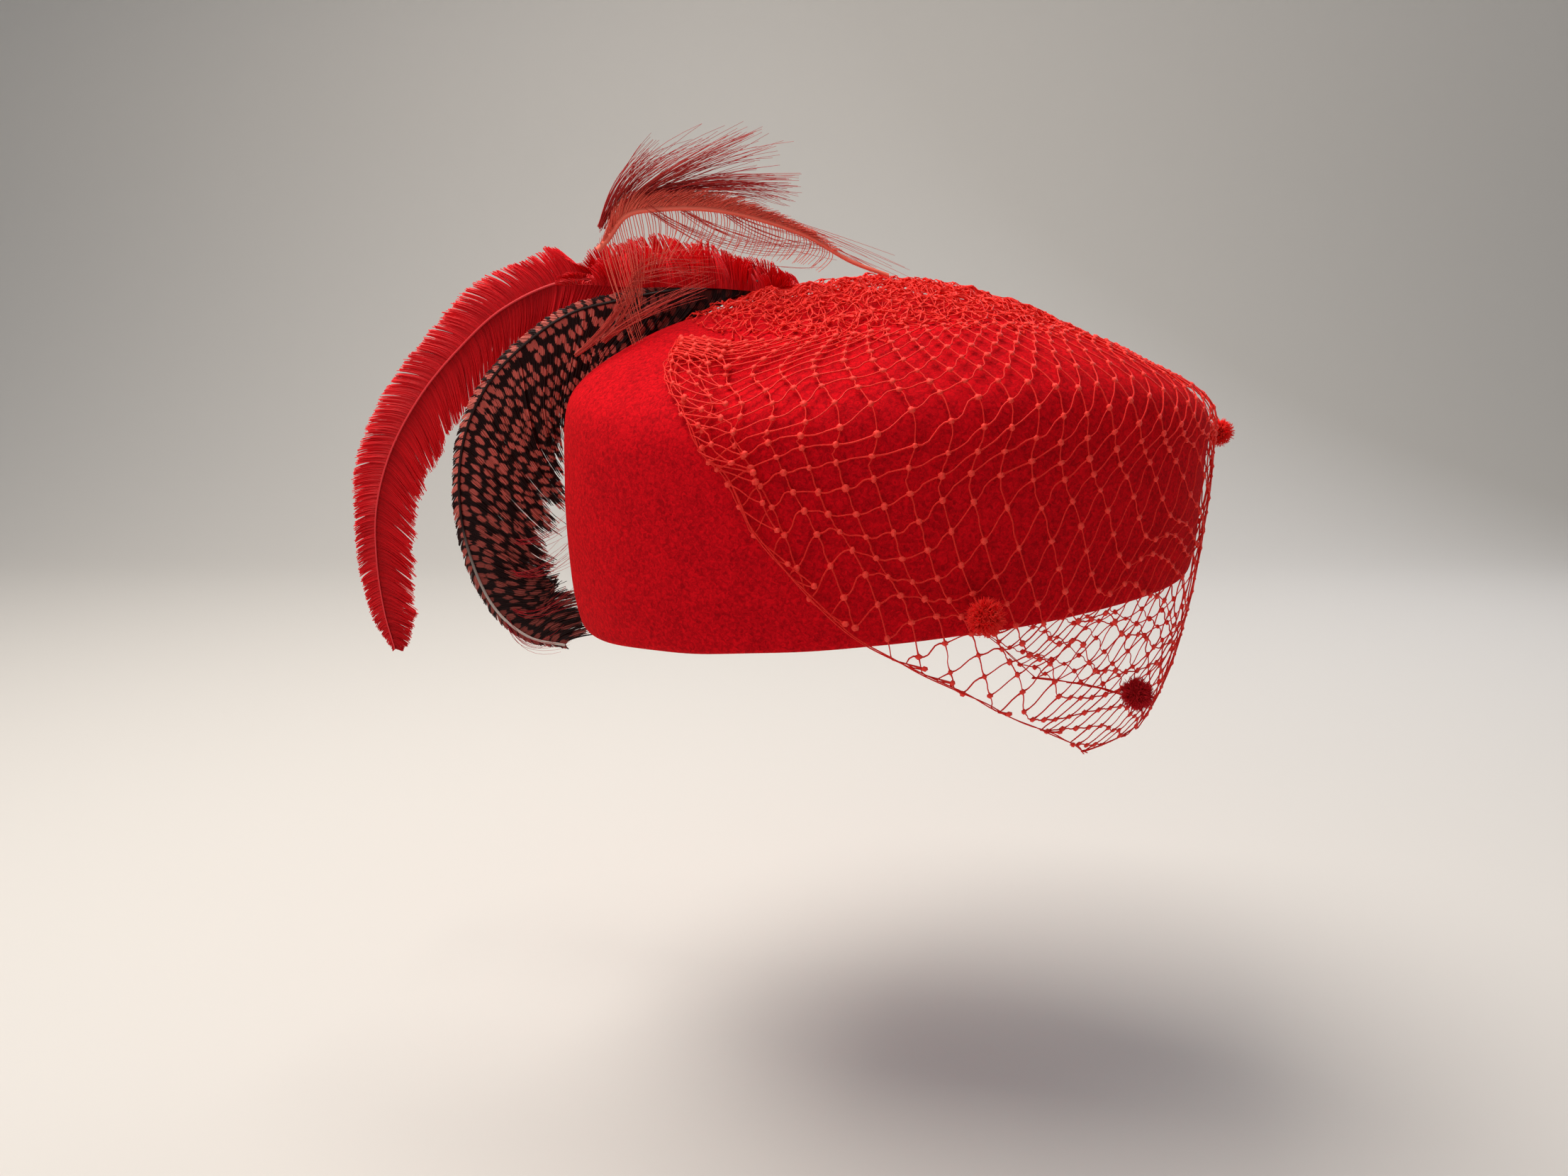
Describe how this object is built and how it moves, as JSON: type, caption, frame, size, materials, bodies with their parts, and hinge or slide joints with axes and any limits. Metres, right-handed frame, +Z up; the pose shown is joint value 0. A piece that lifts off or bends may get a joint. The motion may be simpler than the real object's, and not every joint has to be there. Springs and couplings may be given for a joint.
{
  "type": "felt hat with net veil and feathers",
  "caption": "Small blocked felt hat with a low forward tip, an open net veil over the front and sides, a crushed net on the crown, curled and wispy feathers behind, and chenille dots.",
  "frame": {"origin": "centre of the head opening, level with the turned-under edge at the sides, where a head holds the hat", "axes": "+X towards the front, +Y towards the wearer's left, +Z up as worn"},
  "size_m": [0.3986, 0.215, 0.2581],
  "materials": {
    "wool_felt": "matt felted wool with a short nap",
    "net_thread": "dyed stiffened net thread",
    "plume_barbs": "dyed feather barbs with a soft sheen",
    "spotted_barbs": "dark feather with dyed spots",
    "wispy_barbs": "fine dyed strands with a soft sheen",
    "chenille": "short dense chenille pile"
  },
  "bodies": {
    "root": {"felt_crown": "wool_felt", "net_gathers": "net_thread", "veil_net": "net_thread", "curled_plume": "plume_barbs", "spotted_feather": "spotted_barbs", "wispy_feather": "wispy_barbs", "chenille_dot_front": "chenille", "chenille_dot_side": "chenille", "chenille_dot_hem": "chenille"}
  },
  "joints": []
}
